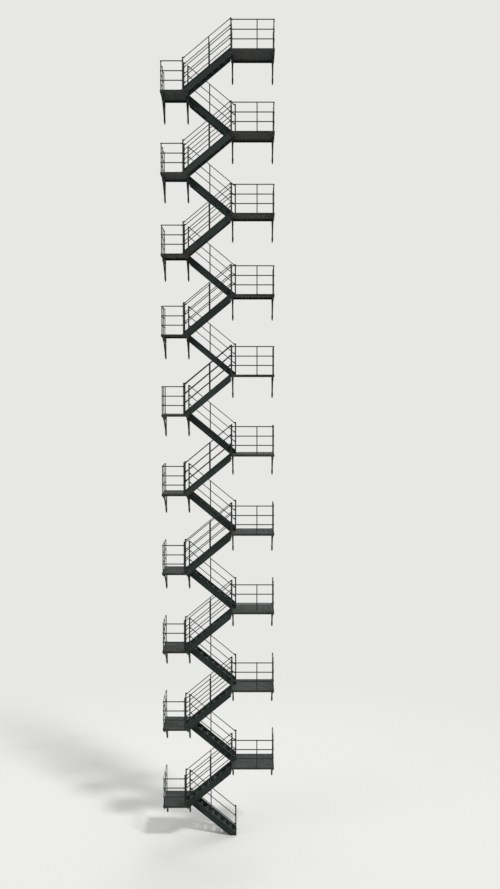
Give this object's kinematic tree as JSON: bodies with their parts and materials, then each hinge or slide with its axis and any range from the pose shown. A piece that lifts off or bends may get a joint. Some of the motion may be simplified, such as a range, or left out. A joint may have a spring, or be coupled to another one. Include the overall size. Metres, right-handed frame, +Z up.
{
  "type": "fire escape stair",
  "caption": "Steel dog-leg fire escape stair for a wall: open platforms and half-way landings on brackets, channel stringers, open treads and three-rail railings.",
  "frame": {"origin": "middle of the wall plate of the lowest platform's left bracket, on the face that bears on the wall", "axes": "+Z up, +X along the wall to the right as seen from in front, +Y into the wall"},
  "size_m": [4.395, 1.67, 32.175],
  "materials": {
    "frame_paint": "old satin dark green-black paint, rust at the joints",
    "deck_paint": "old matt dark green-black paint, worn to grey along the strips",
    "bracket_paint": "old satin dark green-black paint, rust streaks below the bolts",
    "stringer_paint": "old satin dark green-black paint, weathered and chalky",
    "tread_paint": "old matt dark green-black paint, worn bare at the nosings",
    "rail_paint": "old satin dark green-black paint, rust at the laps"
  },
  "bodies": {
    "root": {"platform_edge_channels": "frame_paint", "platform_end_bars": "frame_paint", "landing_edge_channels": "frame_paint", "landing_end_bars": "frame_paint", "platform_decks": "deck_paint", "landing_decks": "deck_paint", "platform_wall_plates": "bracket_paint", "platform_bracket_arms": "bracket_paint", "platform_bracket_struts": "bracket_paint", "landing_wall_plates": "bracket_paint", "landing_bracket_arms": "bracket_paint", "landing_bracket_struts": "bracket_paint", "foot_plate": "bracket_paint", "outer_flight_front_stringers": "stringer_paint", "outer_flight_well_stringers": "stringer_paint", "inner_flight_well_stringers": "stringer_paint", "inner_flight_wall_stringers": "stringer_paint", "outer_flight_treads": "tread_paint", "inner_flight_treads": "tread_paint", "platform_newel_posts": "rail_paint", "landing_newel_posts": "rail_paint", "inner_flight_foot_newels": "rail_paint", "platform_front_rails": "rail_paint", "platform_front_posts": "rail_paint", "platform_end_rails": "rail_paint", "platform_end_posts": "rail_paint", "landing_front_rails": "rail_paint", "landing_corner_posts": "rail_paint", "landing_end_rails": "rail_paint", "landing_end_posts": "rail_paint", "top_guard_rails": "rail_paint", "top_guard_posts": "rail_paint", "outer_flight_front_rails": "rail_paint", "outer_flight_front_posts": "rail_paint", "outer_flight_well_rails": "rail_paint", "outer_flight_well_posts": "rail_paint", "inner_flight_well_rails": "rail_paint", "inner_flight_well_posts": "rail_paint"}
  },
  "joints": []
}
